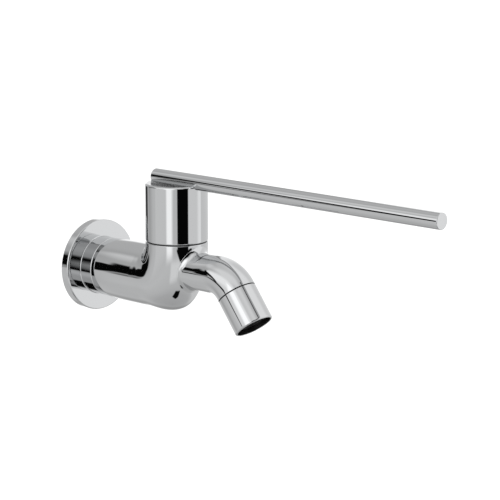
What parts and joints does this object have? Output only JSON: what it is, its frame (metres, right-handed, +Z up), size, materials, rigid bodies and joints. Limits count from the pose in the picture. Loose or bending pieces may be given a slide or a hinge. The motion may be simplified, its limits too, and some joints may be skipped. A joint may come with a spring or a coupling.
{
  "type": "laboratory bib tap",
  "caption": "Wall-mounted laboratory bib tap with a round wall plate, bent spout with aerator nozzle, and a long straight bar lever on a quarter-turn ceramic headwork.",
  "frame": {"origin": "centre of the wall plate's back face, on the axis of the inlet thread", "axes": "+Y into the wall along the inlet thread, so the barrel and the spout run out along -Y; +Z up along the lever's axis; +X to the right of a user who looks at the wall"},
  "size_m": [0.06, 0.3034, 0.1002],
  "materials": {
    "chrome_cast": "polished bright chrome plate on a brass casting",
    "chrome_turned": "polished bright chrome plate on turned brass",
    "brass_inner": "machined brass",
    "stainless_inner": "plain stainless steel",
    "seal_rubber": "moulded black rubber",
    "acetal_dark": "moulded dark acetal",
    "ceramic_disc": "lapped alumina ceramic"
  },
  "bodies": {
    "tap": {"wall_flange": "chrome_turned", "flange_o_ring": "seal_rubber", "tap_body": "chrome_cast", "headwork_body": "brass_inner", "headwork_o_ring": "seal_rubber", "seat_seal": "seal_rubber", "fixed_disc": "ceramic_disc", "thrust_washer": "acetal_dark", "glide_ring": "acetal_dark", "aerator_collar": "chrome_turned", "aerator_gasket": "seal_rubber", "jet_disc": "acetal_dark", "aerator_housing": "acetal_dark", "aerator_screens": "stainless_inner", "outlet_grid": "acetal_dark"},
    "lever": {"spindle": "brass_inner", "spindle_o_rings": "seal_rubber", "spindle_clip": "stainless_inner", "moving_disc": "ceramic_disc", "lever_hub": "chrome_cast", "spline_insert": "brass_inner", "hub_grub_screw": "stainless_inner", "lever_rod": "chrome_turned", "rod_screws": "stainless_inner"}
  },
  "joints": [
    {"name": "lever_turn", "type": "hinge", "parent": "tap", "child": "lever", "pos_m": [0, -0.077, 0.045], "axis": [0, 0, 1], "range_deg": [0, 90]}
  ]
}
